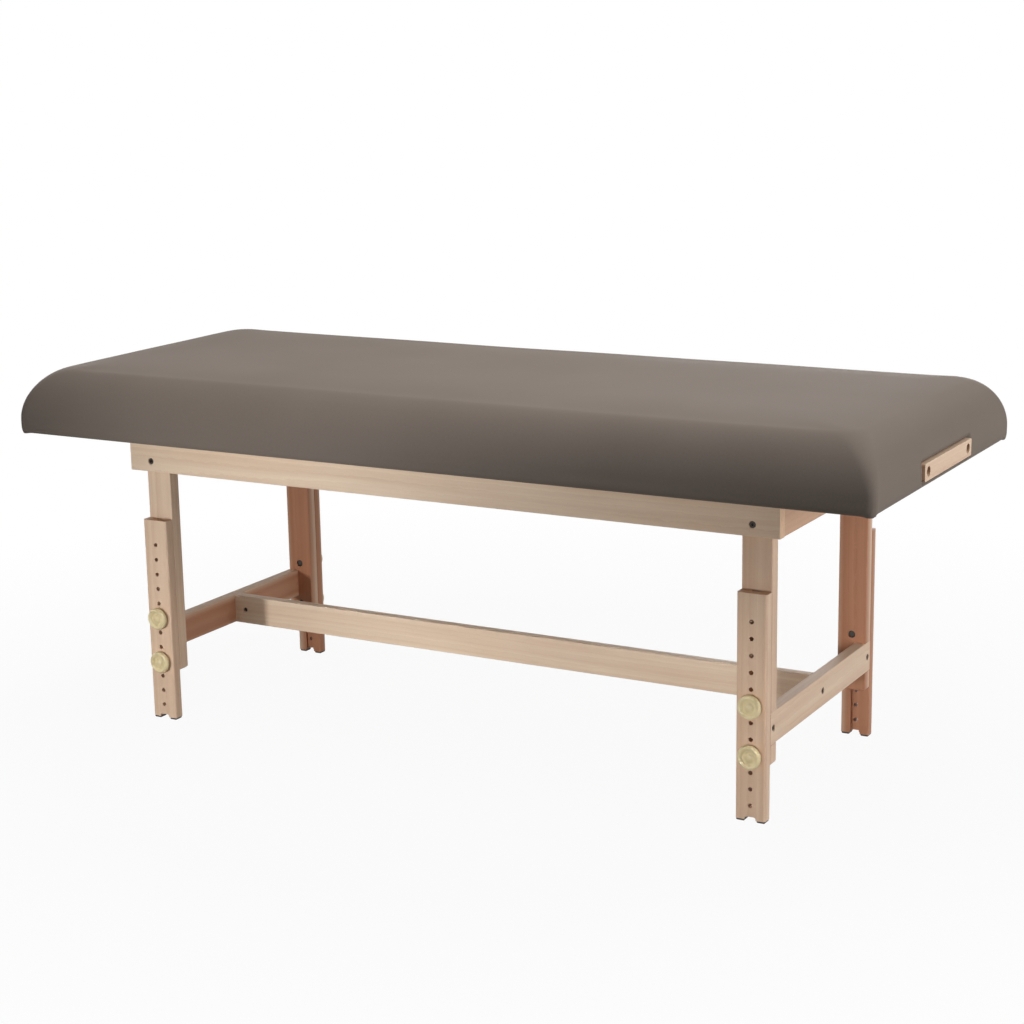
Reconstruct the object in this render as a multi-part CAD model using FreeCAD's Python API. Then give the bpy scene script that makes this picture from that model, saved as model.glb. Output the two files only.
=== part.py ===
"""Massage table: a thick padded top on a timber frame, with four legs that set to height.

X runs along the table with the head end at +X, Y runs across it and Z is up.
The origin is on the floor under the middle of the table, and sizes are in millimetres.
"""
import FreeCAD, Part
import math
import os
from FreeCAD import Vector

# Main sizes of the table
table_height = 747.7
deck_length = 1866.0
deck_width = 762.0
end_overhang = 254.0
side_overhang = 95.0

# Deck and padding
deck_thickness = 18.0
deck_corner_radius = 24.0
deck_edge_ease = 5.0
base_foam_thickness = 27.0
top_foam_thickness = 78.0
pad_swell = 13.0
pad_widest_rise = 35.0
pad_roll_width = 112.0
pad_crown = 4.0
pad_flat_half_width = 98.0
pad_corner_radius = 36.0
pad_corner_growth = 0.5
pad_corner_fullest = 0.9
pad_edge_round = 3.0
pad_side_turns = (60, 30, 0)
pad_roll_turns = (15, 30, 45, 60, 75)
pad_crown_shares = (0, 0.35, 0.7, 1)
vinyl_thickness = 1.2
vinyl_return = 45.0
soft_gap = 0.3

# Head rail and plate, bored for the two posts of a face rest
rail_depth = 70.0
rail_end_margin = 26.0
rail_height = 27.0
post_bore_radius = 9.6
post_end_margin = 20.0
post_height = 11.5
plate_length = 270.0
plate_height = 33.0
plate_corner_radius = 4.5

# Frame under the deck
apron_thickness = 23.0
apron_height = 81.0
end_apron_thickness = 23.0
cleat_size = 22.0
joist_thickness = 22.0
joist_height = 60.0
joist_spacing = 480.0
board_ease = 2.0

# Legs
leg_width = 59.5
upper_leg_thickness = 27.7
upper_leg_end_margin = 22.5
upper_leg_end_round = 6.0
lower_leg_head_room = 105.0
lower_leg_ease = 4.5
tongue_width = 18.0
tongue_depth = 6.0
tongue_setback = 107.5
slide_gap = 0.3

# Row of height holes down each lower leg, and the two that hold the bolts
hole_pitch = 32.0
lowest_hole = 32.0
hole_top_margin = 50.0
hole_radius = 4.4
bolted_holes = (3, 6)

# Feet
foot_height = 4.0
foot_round = 2.5
foot_margin = 1.0
notch_width = 22.0
notch_height = 6.0
notch_round = 4.0

# Stretchers
stretcher_height = 62.5
cross_stretcher_thickness = 24.0
long_stretcher_thickness = 22.0

# Fasteners
bolt_radius = 4.0
bolt_hole_gap = 0.25
thread_gap = 0.05
leg_bolt_head_radius = 7.5
leg_bolt_head_height = 4.0
leg_bolt_sink = 6.0
washer_radius = 8.5
washer_thickness = 1.6
socket_head_radius = 6.2
socket_head_height = 7.0
socket_key_size = 6.0
socket_key_sides = 6
socket_key_depth = 4.0
sink_radius = 6.8
sink_depth = 9.0
insert_radius = 6.0
insert_length = 15.0
insert_bolt_overrun = 1.0
barrel_nut_radius = 5.0
barrel_nut_length = 17.0
barrel_nut_setback = 27.5
barrel_nut_bolt_overrun = 4.0
apron_bolt_rise = 22.3
dowel_radius = 4.0
dowel_in_side = 12.0
dowel_in_end = 28.0
dowel_rises = (22.0, 58.0)
screw_radius = 2.2
screw_head_radius = 4.2
screw_head_height = 2.6
screw_in_deck = 12.0
screws_per_cleat = 5
cleat_screw_margin = 60.0

# Clamp knobs
knob_radius = 23.4
knob_thickness = 11.0
knob_back_ease = 3.9
knob_rim_ease = 4.4
knob_rim_fall = 1.2
knob_ring_outer = 12.9
knob_ring_inner = 9.6
knob_ring_sink = 3.6
knob_hub_radius = 7.0
knob_hub_sink = 1.6
knob_dome_sink = 0.2
knob_insert_cover = 3.5
knob_insert_radius = 6.0

# How near two places count as one, how near two ways count as parallel, and how far a cut overshoots
nearness = 0.01
parallel = 0.999
overshoot = 1.0

# Heights and places that follow from the sizes above
pad_top = table_height
deck_top = pad_top - vinyl_thickness - top_foam_thickness - base_foam_thickness
deck_underside = deck_top - deck_thickness
apron_bottom = deck_underside - apron_height
pad_bottom = deck_underside - vinyl_thickness
pad_half_length = deck_length / 2 + pad_swell
pad_half_width = deck_width / 2 + pad_swell
apron_face = deck_width / 2 - side_overhang
apron_inner = apron_face - apron_thickness
leg_x = deck_length / 2 - end_overhang
leg_inside = leg_x - leg_width / 2
leg_outside = leg_x + leg_width / 2
upper_leg_inner = apron_inner - upper_leg_thickness
lower_leg_inner = apron_inner + slide_gap
apron_end = leg_outside + end_apron_thickness
lower_leg_top = apron_bottom - lower_leg_head_room
tongue_top = lower_leg_top - tongue_setback
hole_count = 1 + int((lower_leg_top - hole_top_margin - lowest_hole) / hole_pitch)
bolt_heights = [lowest_hole + hole_pitch * index for index in bolted_holes]
upper_leg_bottom = min(bolt_heights) - upper_leg_end_margin
stretcher_middle = sum(bolt_heights) / len(bolt_heights)
stretcher_bottom = stretcher_middle - stretcher_height / 2
stretcher_top = stretcher_middle + stretcher_height / 2
stretcher_back = leg_outside - cross_stretcher_thickness
apron_bolt_z = apron_bottom + apron_bolt_rise
rail_inner = deck_length / 2 - rail_depth
rail_top = deck_top + rail_height
post_z = deck_top + post_height
post_spacing = plate_length - 2 * post_end_margin
plate_seat = deck_length / 2 + vinyl_thickness
bolt_hole_radius = bolt_radius + bolt_hole_gap
bolt_thread_radius = bolt_radius + thread_gap
knob_insert_length = knob_thickness - knob_insert_cover
knob_back = apron_face + slide_gap + washer_thickness + slide_gap

nodes = {}


def box(x0, x1, y0, y1, z0, z1):
    """A block between two corners."""
    return Part.makeBox(x1 - x0, y1 - y0, z1 - z0, Vector(x0, y0, z0))


def rod(radius, start, end):
    """A round bar from one point to another."""
    way = end.sub(start)
    return Part.makeCylinder(radius, way.Length, start, way)


def ring(outer, inner, start, end):
    """A round sleeve from one point to another."""
    return rod(outer, start, end).cut(rod(inner, start, end))


def ease_along(shape, axis, radius, wanted=None):
    """Rounds the straight edges that run along an axis, or the wanted ones of them."""
    picked = []
    for edge in shape.Edges:
        first, last = edge.Vertexes[0].Point, edge.Vertexes[-1].Point
        way = last.sub(first)
        along = way.Length > 0 and abs(way.dot(axis)) > parallel * way.Length
        if along and (wanted is None or wanted(edge.CenterOfMass)):
            picked.append(edge)
    return shape.makeFillet(radius, picked)


def to_corner(shape, end, side):
    """A piece made for the +X, +Y corner of the table, mirrored to another corner."""
    if end < 0:
        shape = shape.mirror(Vector(0, 0, 0), Vector(1, 0, 0))
    if side < 0:
        shape = shape.mirror(Vector(0, 0, 0), Vector(0, 1, 0))
    return shape


def socket_bolt(head_face, end):
    """A bolt with a round head and a six-sided key socket, from its head's face to its tip."""
    way = end.sub(head_face)
    way.normalize()
    under_head = head_face + way * socket_head_height
    bolt = rod(socket_head_radius, head_face, under_head).fuse(rod(bolt_radius, under_head, end))
    key_radius = socket_key_size / 2 / math.cos(math.pi / socket_key_sides)
    across = Vector(0, 0, 1)
    beside = way.cross(across)
    rim = []
    for corner in range(socket_key_sides + 1):
        turn = 2 * math.pi * corner / socket_key_sides
        spoke = across * math.cos(turn) + beside * math.sin(turn)
        rim.append(head_face + spoke * key_radius)
    key = Part.Face(Part.makePolygon(rim)).extrude(way * socket_key_depth)
    return bolt.cut(key).removeSplitter()


def rounded_outline(half_length, half_width, radius, height):
    """A level rounded rectangle of four lines and four quarter arcs."""
    short = radius * (1 - math.sqrt(0.5))
    arcs = []
    for sx, sy in ((1, 1), (-1, 1), (-1, -1), (1, -1)):
        on_end = Vector(sx * half_length, sy * (half_width - radius), height)
        on_side = Vector(sx * (half_length - radius), sy * half_width, height)
        middle = Vector(sx * (half_length - short), sy * (half_width - short), height)
        first, last = (on_end, on_side) if sx * sy > 0 else (on_side, on_end)
        arcs.append((first, middle, last))
    edges = []
    for here, ahead in zip(arcs, arcs[1:] + arcs[:1]):
        edges.append(Part.Arc(*here).toShape())
        edges.append(Part.LineSegment(here[2], ahead[0]).toShape())
    return Part.Wire(edges)


def pad_form(inset):
    """The crowned form of the padded top, drawn in on every side by inset.

    The sides are drawn in at the deck's edge, swell to their widest above it, roll over
    in a quarter ellipse and rise to the crown. Higher outlines have rounder corners.
    """
    half_length = pad_half_length - inset
    half_width = pad_half_width - inset
    corner = pad_corner_radius - inset
    low = pad_bottom + inset
    high = pad_top - inset
    widest = deck_underside + pad_widest_rise
    roll_width = pad_roll_width - inset
    roll_height = high - pad_crown - widest
    tuck = pad_swell - vinyl_thickness - soft_gap
    stations = [(tuck + pad_edge_round, low, 0)]
    steepest = math.radians(max(pad_side_turns))
    for turn in pad_side_turns:
        drawn_in = tuck * (1 - math.cos(math.radians(turn))) / (1 - math.cos(steepest))
        fall = (widest - low - pad_edge_round) * math.sin(math.radians(turn)) / math.sin(steepest)
        stations.append((drawn_in, widest - fall, 0))
    for turn in pad_roll_turns:
        drawn_in = roll_width * (1 - math.cos(math.radians(turn)))
        rise = roll_height * math.sin(math.radians(turn))
        stations.append((drawn_in, widest + rise, 1))
    flat_from = pad_half_width - pad_flat_half_width
    for share in pad_crown_shares:
        drawn_in = roll_width + (flat_from - roll_width) * share
        stations.append((drawn_in, high - pad_crown * (1 - share) ** 2, 1))
    outlines = []
    for drawn_in, height, rolled in stations:
        wide = half_width - drawn_in
        radius = corner + pad_corner_growth * drawn_in if rolled else corner - drawn_in
        radius = min(radius, pad_corner_fullest * wide)
        outlines.append(rounded_outline(half_length - drawn_in, wide, radius, height))
    return Part.makeLoft(outlines, True, True)


def post_bores(radius):
    """The two ways through the head end for the posts of a face rest."""
    ways = []
    for side in (-1, 1):
        y = side * post_spacing / 2
        ways.append(rod(radius, Vector(rail_inner, y, post_z), Vector(pad_half_length, y, post_z)))
    return Part.makeCompound(ways)


# Deck board: plywood with round corners and an eased lower edge for the cover to fold over
outline = rounded_outline(deck_length / 2, deck_width / 2, deck_corner_radius, deck_underside)
deck = Part.Face(outline).extrude(Vector(0, 0, deck_thickness))
lower_edges = [edge for edge in deck.Edges if abs(edge.CenterOfMass.z - deck_underside) < nearness]
deck = deck.makeFillet(deck_edge_ease, lower_edges)

# Vinyl cover: a thin skin over the foam, folded under the deck, drawn flat behind the plate
plate_room = plate_length / 2 + soft_gap
plate_low = post_z - plate_height / 2
plate_high = post_z + plate_height / 2
reach = pad_half_length + pad_swell
seat = box(plate_seat, reach, -plate_room, plate_room, plate_low - soft_gap, plate_high + soft_gap)
behind_seat = box(
    plate_seat - vinyl_thickness,
    reach,
    -plate_room - vinyl_thickness,
    plate_room + vinyl_thickness,
    plate_low - soft_gap - vinyl_thickness,
    plate_high + soft_gap + vinyl_thickness,
)
skin_outside = pad_form(0).cut(seat)
skin_inside = pad_form(vinyl_thickness).cut(behind_seat)
open_length = deck_length / 2 - vinyl_return
open_width = deck_width / 2 - vinyl_return
underside = box(
    -open_length,
    open_length,
    -open_width,
    open_width,
    pad_bottom - overshoot,
    deck_underside + overshoot,
)
cover = skin_outside.cut(skin_inside).cut(underside)
nodes["vinyl_cover"] = cover.cut(post_bores(post_bore_radius + soft_gap))

# Foam: a firm base layer that stops at the head rail, and a soft top layer over all
foam_joint = deck_top + base_foam_thickness
foam = pad_form(vinyl_thickness + soft_gap).cut(behind_seat)
base_space = box(-reach, rail_inner - soft_gap, -reach, reach, deck_top, foam_joint)
top_space = box(-reach, reach, -reach, reach, max(foam_joint, rail_top) + soft_gap, pad_top + overshoot)
nodes["base_foam"] = foam.common(base_space)
nodes["top_foam"] = foam.common(top_space)

# Head rail on the deck's end, and the plate outside the cover that finishes its bores
rail_side = deck_width / 2 - rail_end_margin
rail = box(rail_inner, deck_length / 2, -rail_side, rail_side, deck_top, rail_top)
nodes["head_rail"] = rail.cut(post_bores(post_bore_radius))
plate = box(plate_seat, pad_half_length, -plate_length / 2, plate_length / 2, plate_low, plate_high)
plate = ease_along(plate, Vector(1, 0, 0), plate_corner_radius)
nodes["face_rest_plate"] = plate.cut(post_bores(post_bore_radius))

# Corner dowels between the side and end aprons
dowel_x = leg_outside + end_apron_thickness / 2
dowel_inner = apron_inner - dowel_in_end
dowel_outer = apron_inner + dowel_in_side
corner_dowels = []
for rise in dowel_rises:
    inner_end = Vector(dowel_x, dowel_inner, apron_bottom + rise)
    outer_end = Vector(dowel_x, dowel_outer, apron_bottom + rise)
    corner_dowels.append(rod(dowel_radius, inner_end, outer_end))
dowel_holes = Part.makeCompound(corner_dowels)
corners = {
    "head_front": (1, -1),
    "head_back": (1, 1),
    "foot_front": (-1, -1),
    "foot_back": (-1, 1),
}
ends = {"head": 1, "foot": -1}
sides = {"front": -1, "back": 1}

# Side aprons, sunk and bored for one bolt into each upper leg
apron_bolt_outer = Vector(leg_x, apron_face, apron_bolt_z)
apron_bolt_inner = Vector(leg_x, apron_inner, apron_bolt_z)
bolt_sink = rod(sink_radius, apron_bolt_outer - Vector(0, sink_depth, 0), apron_bolt_outer)
bolt_way = rod(bolt_hole_radius, apron_bolt_inner, apron_bolt_outer)
side_apron = box(-apron_end, apron_end, apron_inner, apron_face, apron_bottom, deck_underside)
side_apron = ease_along(side_apron, Vector(1, 0, 0), board_ease)
for end in ends.values():
    for cut in (bolt_sink, bolt_way, dowel_holes):
        side_apron = side_apron.cut(to_corner(cut, end, 1))
for name, side in sides.items():
    nodes["side_apron_" + name] = to_corner(side_apron, 1, side)

# End aprons between the side aprons, against the legs
end_apron = box(leg_outside, apron_end, -apron_inner, apron_inner, apron_bottom, deck_underside)
end_apron = ease_along(end_apron, Vector(0, 1, 0), board_ease)
for side in sides.values():
    end_apron = end_apron.cut(to_corner(dowel_holes, 1, side))
for name, end in ends.items():
    nodes["end_apron_" + name] = to_corner(end_apron, end, 1)

# Cleats along the side aprons, which the deck is screwed down to from below
cleat_end = leg_inside - soft_gap
cleat_bottom = deck_underside - cleat_size
cleat = box(-cleat_end, cleat_end, apron_inner - cleat_size, apron_inner, cleat_bottom, deck_underside)
screw_y = apron_inner - cleat_size / 2
screw_step = 2 * (cleat_end - cleat_screw_margin) / (screws_per_cleat - 1)
screws = []
for k in range(screws_per_cleat):
    x = cleat_screw_margin - cleat_end + k * screw_step
    under_head = Vector(x, screw_y, cleat_bottom)
    tip = Vector(x, screw_y, deck_underside + screw_in_deck)
    screw = rod(screw_head_radius, under_head - Vector(0, 0, screw_head_height), under_head)
    screws.append(screw.fuse(rod(screw_radius, under_head, tip)).removeSplitter())
    hole = rod(screw_radius + thread_gap, under_head, tip + Vector(0, 0, thread_gap))
    cleat = cleat.cut(hole)
    deck = deck.cut(hole).cut(to_corner(hole, 1, -1))
nodes["deck_board"] = deck
for name, side in sides.items():
    nodes["deck_cleat_" + name] = to_corner(cleat, 1, side)
deck_screws = []
for side in sides.values():
    deck_screws += [to_corner(screw, 1, side) for screw in screws]
nodes["deck_screws"] = Part.makeCompound(deck_screws)

# Two joists across the frame, between the cleats
joist_x = joist_spacing / 2
joist_end = apron_inner - cleat_size
joist = box(
    joist_x - joist_thickness / 2,
    joist_x + joist_thickness / 2,
    -joist_end,
    joist_end,
    deck_underside - joist_height,
    deck_underside,
)
joist = ease_along(joist, Vector(0, 1, 0), board_ease)
for name, end in ends.items():
    nodes["deck_joist_" + name] = to_corner(joist, end, 1)

# Upper leg: fixed inside the side apron, notched for the cross stretcher, with a guide tongue
upper_leg = box(leg_inside, leg_outside, upper_leg_inner, apron_inner, upper_leg_bottom, deck_underside)
upper_leg = ease_along(upper_leg, Vector(0, 0, 1), board_ease)
low_end = upper_leg_bottom + nearness
upper_leg = ease_along(upper_leg, Vector(1, 0, 0), upper_leg_end_round, lambda middle: middle.z < low_end)
tongue_half = tongue_width / 2
tongue_end = apron_inner + tongue_depth
tongue = box(
    leg_x - tongue_half,
    leg_x + tongue_half,
    apron_inner - tongue_depth,
    tongue_end,
    upper_leg_bottom + upper_leg_end_round,
    tongue_top,
)
upper_leg = upper_leg.fuse(tongue)
stretcher_notch = box(
    stretcher_back,
    leg_outside,
    upper_leg_inner,
    apron_inner,
    stretcher_bottom,
    stretcher_top,
)
upper_leg = upper_leg.cut(stretcher_notch)
leg_middle_y = (upper_leg_inner + apron_inner) / 2
insert_room = insert_radius + thread_gap
apron_insert_end = apron_bolt_inner - Vector(0, insert_length, 0)
apron_bolt_tip = apron_insert_end - Vector(0, insert_bolt_overrun, 0)
stretcher_insert_face = Vector(stretcher_back, leg_middle_y, stretcher_middle)
stretcher_insert_end = Vector(stretcher_back - insert_length, leg_middle_y, stretcher_middle)
stretcher_bolt_tip = stretcher_insert_end - Vector(insert_bolt_overrun, 0, 0)
leg_cuts = [
    rod(insert_room, apron_insert_end, apron_bolt_inner),
    rod(bolt_hole_radius, apron_bolt_tip - Vector(0, insert_bolt_overrun, 0), apron_bolt_inner),
    rod(insert_room, stretcher_insert_end, stretcher_insert_face),
    rod(bolt_hole_radius, stretcher_bolt_tip - Vector(insert_bolt_overrun, 0, 0), stretcher_insert_face),
]
for z in bolt_heights:
    inner = Vector(leg_x, upper_leg_inner, z)
    leg_cuts.append(rod(leg_bolt_head_radius + bolt_hole_gap, inner, inner + Vector(0, leg_bolt_sink, 0)))
    leg_cuts.append(rod(bolt_hole_radius, inner, Vector(leg_x, tongue_end, z)))
for cut in leg_cuts:
    upper_leg = upper_leg.cut(cut)
upper_leg = upper_leg.removeSplitter()

# Lower leg: slides on the tongue, with its row of holes, and a notched end that leaves two toes
lower_leg = box(leg_inside, leg_outside, lower_leg_inner, apron_face, foot_height, lower_leg_top)
outside = apron_face - nearness
inside = lower_leg_inner + nearness
lower_leg = ease_along(lower_leg, Vector(0, 0, 1), lower_leg_ease, lambda middle: middle.y > outside)
lower_leg = ease_along(lower_leg, Vector(0, 0, 1), board_ease, lambda middle: middle.y < inside)
groove_half = tongue_half + slide_gap
groove_floor = tongue_end + slide_gap
lower_leg = lower_leg.cut(
    box(leg_x - groove_half, leg_x + groove_half, lower_leg_inner, groove_floor, foot_height, lower_leg_top)
)
notch_half = notch_width / 2
notch_top = foot_height + notch_height
notch = box(leg_x - notch_half, leg_x + notch_half, lower_leg_inner, apron_face, 0, notch_top)
notch = ease_along(notch, Vector(0, 1, 0), notch_round, lambda middle: middle.z > notch_top - nearness)
lower_leg = lower_leg.cut(notch)
for index in range(hole_count):
    z = lowest_hole + hole_pitch * index
    hole = rod(hole_radius, Vector(leg_x, lower_leg_inner, z), Vector(leg_x, apron_face, z))
    lower_leg = lower_leg.cut(hole)

# Foot pads: a rubber pad under each toe, rounded where it meets the floor
toe_width = (leg_width - notch_width) / 2
foot_pads = []
for x in (leg_inside + foot_margin, leg_outside - toe_width + foot_margin):
    pad = box(
        x,
        x + toe_width - 2 * foot_margin,
        lower_leg_inner + foot_margin,
        apron_face - foot_margin,
        0,
        foot_height,
    )
    pad = ease_along(pad, Vector(0, 0, 1), foot_round)
    floor_edges = [edge for edge in pad.Edges if edge.CenterOfMass.z < nearness]
    foot_pads.append(pad.makeChamfer(foot_round / 2, floor_edges))

# Leg bolts, sunk in the upper leg, through a height hole and the washer into the knob
leg_bolts = []
washers = []
for z in bolt_heights:
    head_seat = Vector(leg_x, upper_leg_inner + leg_bolt_sink, z)
    head_face = head_seat - Vector(0, leg_bolt_head_height, 0)
    head = rod(leg_bolt_head_radius, head_face, head_seat)
    dome = [edge for edge in head.Edges if abs(edge.CenterOfMass.y - head_face.y) < nearness]
    head = head.makeFillet(leg_bolt_head_height / 2, dome)
    tip = Vector(leg_x, knob_back + knob_insert_length, z)
    leg_bolts.append(head.fuse(rod(bolt_radius, head_seat, tip)).removeSplitter())
    washer_seat = Vector(leg_x, apron_face + slide_gap, z)
    washers.append(
        ring(washer_radius, bolt_hole_radius, washer_seat, washer_seat + Vector(0, washer_thickness, 0))
    )

# Cross stretchers, lapped into the upper legs, with three sunk bolt holes on the outer face
end_bolt_y = (-leg_middle_y, 0, leg_middle_y)
cross_stretcher = box(
    stretcher_back,
    leg_outside,
    -apron_inner,
    apron_inner,
    stretcher_bottom,
    stretcher_top,
)
cross_stretcher = ease_along(cross_stretcher, Vector(0, 1, 0), board_ease)
for y in end_bolt_y:
    inner = Vector(stretcher_back, y, stretcher_middle)
    outer = Vector(leg_outside, y, stretcher_middle)
    cross_stretcher = cross_stretcher.cut(rod(sink_radius, outer - Vector(sink_depth, 0, 0), outer))
    cross_stretcher = cross_stretcher.cut(rod(bolt_hole_radius, inner, outer))
for name, end in ends.items():
    nodes["cross_stretcher_" + name] = to_corner(cross_stretcher, end, 1)

# Long stretcher between them, held at each end by a bolt into a barrel nut
half_thick = long_stretcher_thickness / 2
long_stretcher = box(
    -stretcher_back,
    stretcher_back,
    -half_thick,
    half_thick,
    stretcher_bottom,
    stretcher_top,
)
long_stretcher = ease_along(long_stretcher, Vector(1, 0, 0), board_ease)
nut_x = stretcher_back - barrel_nut_setback
long_bolt_tip = Vector(nut_x - barrel_nut_radius - barrel_nut_bolt_overrun, 0, stretcher_middle)
long_bolt_mouth = Vector(stretcher_back, 0, stretcher_middle)
long_bolt_way = rod(bolt_hole_radius, long_bolt_tip, long_bolt_mouth)
nut_back = Vector(nut_x, barrel_nut_length / 2, stretcher_middle)
nut_front = Vector(nut_x, -barrel_nut_length / 2, stretcher_middle)
nut_way = rod(
    barrel_nut_radius + thread_gap,
    Vector(nut_x, -half_thick, stretcher_middle),
    Vector(nut_x, half_thick, stretcher_middle),
)
bolt_thread = rod(bolt_thread_radius, long_bolt_tip, long_bolt_mouth)
barrel_nut = rod(barrel_nut_radius, nut_front, nut_back).cut(bolt_thread)
for end in ends.values():
    for cut in (long_bolt_way, nut_way):
        long_stretcher = long_stretcher.cut(to_corner(cut, end, 1))
nodes["long_stretcher"] = long_stretcher
nodes["barrel_nuts"] = Part.makeCompound([to_corner(barrel_nut, end, 1) for end in ends.values()])

# Bolts of the frame, and the threaded inserts in the upper legs
bolt_face = leg_outside - sink_depth + socket_head_height
stretcher_bolt = socket_bolt(Vector(bolt_face, leg_middle_y, stretcher_middle), stretcher_bolt_tip)
long_bolt = socket_bolt(Vector(bolt_face, 0, stretcher_middle), long_bolt_tip)
apron_bolt_face = apron_face - sink_depth + socket_head_height
apron_bolt = socket_bolt(Vector(leg_x, apron_bolt_face, apron_bolt_z), apron_bolt_tip)
apron_insert = ring(insert_radius, bolt_thread_radius, apron_insert_end, apron_bolt_inner)
stretcher_insert = ring(insert_radius, bolt_thread_radius, stretcher_insert_end, stretcher_insert_face)

# Clamp knob: a turned disc with a rounded rim, a sunk ring and a domed hub
ring_height = knob_thickness - knob_ring_sink
hub_height = knob_thickness - knob_hub_sink
dome_height = knob_thickness - knob_dome_sink
rim_radius = knob_radius - knob_rim_ease
back_edge = Vector(knob_radius - knob_back_ease, 0, 0)
rim_side = Vector(knob_radius, 0, knob_thickness / 2)
rim_top = Vector(rim_radius, 0, knob_thickness)
rim_inside = Vector((rim_radius + knob_ring_outer) / 2, 0, knob_thickness - knob_rim_fall)
ring_edge = Vector(knob_ring_outer, 0, ring_height)
hub_foot = Vector(knob_ring_inner, 0, ring_height)
hub_edge = Vector(knob_hub_radius, 0, hub_height)
dome_rise = dome_height - hub_height
dome_radius = (knob_hub_radius**2 + dome_rise**2) / (2 * dome_rise)
dome_turn = math.asin(knob_hub_radius / dome_radius) / 2
dome_centre = dome_height - dome_radius
dome_side = Vector(dome_radius * math.sin(dome_turn), 0, dome_centre + dome_radius * math.cos(dome_turn))
dome_top = Vector(0, 0, dome_height)
knob_outline = Part.Wire(
    [
        Part.LineSegment(Vector(0, 0, 0), back_edge).toShape(),
        Part.Arc(back_edge, rim_side, rim_top).toShape(),
        Part.Arc(rim_top, rim_inside, ring_edge).toShape(),
        Part.LineSegment(ring_edge, hub_foot).toShape(),
        Part.LineSegment(hub_foot, hub_edge).toShape(),
        Part.Arc(hub_edge, dome_side, dome_top).toShape(),
        Part.LineSegment(dome_top, Vector(0, 0, 0)).toShape(),
    ]
)
knob_turned = Part.Face(knob_outline).revolve(Vector(0, 0, 0), Vector(0, 0, 1), 360)
insert_room_end = Vector(0, 0, knob_insert_length + thread_gap)
knob_turned = knob_turned.cut(rod(knob_insert_radius + thread_gap, Vector(0, 0, 0), insert_room_end))
knob_insert = ring(knob_insert_radius, bolt_thread_radius, Vector(0, 0, 0), Vector(0, 0, knob_insert_length))


def on_bolt(shape, z):
    """A turned piece set on a leg bolt, its back against the washer."""
    placed = shape.copy()
    placed.rotate(Vector(0, 0, 0), Vector(1, 0, 0), -90)
    placed.translate(Vector(leg_x, knob_back, z))
    return placed


# One set of leg pieces at each corner of the table
for corner, (end, side) in corners.items():
    nodes["upper_leg_" + corner] = to_corner(upper_leg, end, side)
    nodes["lower_leg_" + corner] = to_corner(lower_leg, end, side)
    nodes["foot_pads_" + corner] = to_corner(Part.makeCompound(foot_pads), end, side)
    for level, z in zip(("lower", "upper"), bolt_heights):
        nodes["clamp_knob_" + corner + "_" + level] = to_corner(on_bolt(knob_turned, z), end, side)
        nodes["knob_insert_" + corner + "_" + level] = to_corner(on_bolt(knob_insert, z), end, side)


def at_corners(shapes):
    """Copies of small pieces at all four corners, as one group."""
    copies = []
    for end, side in corners.values():
        copies += [to_corner(shape, end, side) for shape in shapes]
    return Part.makeCompound(copies)


nodes["leg_bolts"] = at_corners(leg_bolts)
nodes["knob_washers"] = at_corners(washers)
nodes["apron_dowels"] = at_corners(corner_dowels)
nodes["apron_bolts"] = at_corners([apron_bolt])
nodes["leg_inserts"] = at_corners([apron_insert, stretcher_insert])
frame_bolts = [to_corner(stretcher_bolt, end, side) for end, side in corners.values()]
frame_bolts += [to_corner(long_bolt, end, 1) for end in ends.values()]
nodes["stretcher_bolts"] = Part.makeCompound(frame_bolts)

os.makedirs("parts", exist_ok=True)
for name, shape in nodes.items():
    shape.exportStep("parts/" + name + ".step")
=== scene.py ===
import math

import bmesh
import bpy
from mathutils import Matrix, Vector, noise


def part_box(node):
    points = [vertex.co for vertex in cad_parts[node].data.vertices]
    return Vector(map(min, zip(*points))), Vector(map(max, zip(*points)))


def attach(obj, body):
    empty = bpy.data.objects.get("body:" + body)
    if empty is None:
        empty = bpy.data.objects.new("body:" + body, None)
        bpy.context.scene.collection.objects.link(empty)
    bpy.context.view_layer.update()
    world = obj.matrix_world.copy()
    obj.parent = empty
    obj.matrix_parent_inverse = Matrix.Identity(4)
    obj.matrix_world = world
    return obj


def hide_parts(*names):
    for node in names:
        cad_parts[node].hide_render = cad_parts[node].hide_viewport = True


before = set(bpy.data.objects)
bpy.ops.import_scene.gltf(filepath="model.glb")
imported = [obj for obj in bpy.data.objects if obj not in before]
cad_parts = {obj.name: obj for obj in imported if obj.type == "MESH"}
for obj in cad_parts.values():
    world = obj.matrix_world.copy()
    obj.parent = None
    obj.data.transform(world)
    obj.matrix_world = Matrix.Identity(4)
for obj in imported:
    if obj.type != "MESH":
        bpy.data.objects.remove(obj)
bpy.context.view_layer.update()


# Aprons: four planed maple boards set on edge, doweled at the corners into the
# rectangle that carries the top. Clear satin lacquer, grain along each board.
def add_node(tree, kind, values=None, **settings):
    """A node in tree, with its settings, and each socket set or linked from values."""
    made = tree.nodes.new(kind)
    for key, value in settings.items():
        setattr(made, key, value)
    for socket, value in (values or {}).items():
        if isinstance(value, bpy.types.NodeSocket):
            tree.links.new(value, made.inputs[socket])
        else:
            made.inputs[socket].default_value = value
    return made


def new_group(name, takes, gives):
    """A shader node group with named sockets, its input sockets and its output node."""
    group = bpy.data.node_groups.new(name, "ShaderNodeTree")
    for label, kind in takes.items():
        group.interface.new_socket(label, in_out="INPUT", socket_type="NodeSocket" + kind)
    for label, kind in gives.items():
        group.interface.new_socket(label, in_out="OUTPUT", socket_type="NodeSocket" + kind)
    given = add_node(group, "NodeGroupInput").outputs
    return group, given, add_node(group, "NodeGroupOutput")


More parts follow.
